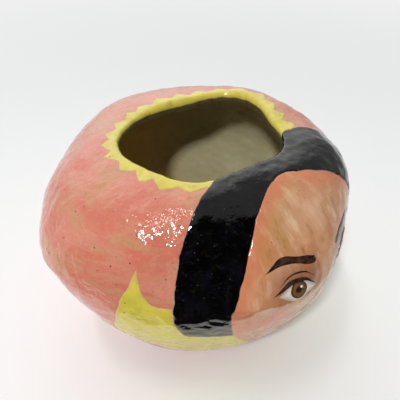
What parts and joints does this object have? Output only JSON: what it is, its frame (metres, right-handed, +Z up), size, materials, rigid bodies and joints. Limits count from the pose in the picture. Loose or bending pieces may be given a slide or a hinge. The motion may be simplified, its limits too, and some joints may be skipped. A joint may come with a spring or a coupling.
{
  "type": "face vase",
  "caption": "Round hand-built ceramic vase with a wide mouth, a sawtooth collar and a painted face framed by dark hair; stands by itself and holds water and cut flowers.",
  "frame": {"origin": "centre of the foot, on the surface that the vase stands on", "axes": "+Z up out of the mouth, -Y the way the face looks"},
  "size_m": [0.1935, 0.1998, 0.1398],
  "materials": {
    "pink_glaze": "glossy salmon-pink glaze over earthenware, with fine dark specks",
    "yellow_slip": "glossy yellow slip",
    "liner_glaze": "satin olive-grey liner glaze",
    "black_slip": "glossy black slip",
    "skin_slip": "glossy peach slip, brushed",
    "blush_slip": "glossy warm brown slip",
    "brown_slip": "glossy dark brown slip",
    "white_slip": "glossy white slip",
    "lip_slip": "glossy red slip"
  },
  "bodies": {
    "root": {"base_slab": "pink_glaze", "lower_wall": "pink_glaze", "shoulder_wall": "pink_glaze", "rim_coil": "yellow_slip", "liner_glaze": "liner_glaze", "hair_slip": "black_slip", "face_slip": "skin_slip", "collar_slip": "yellow_slip", "wing_slip": "yellow_slip", "brow_slip": "brown_slip", "eye_slip": "white_slip", "iris_slip": "brown_slip", "nose_slip": "blush_slip", "lip_slip": "lip_slip"}
  },
  "joints": []
}
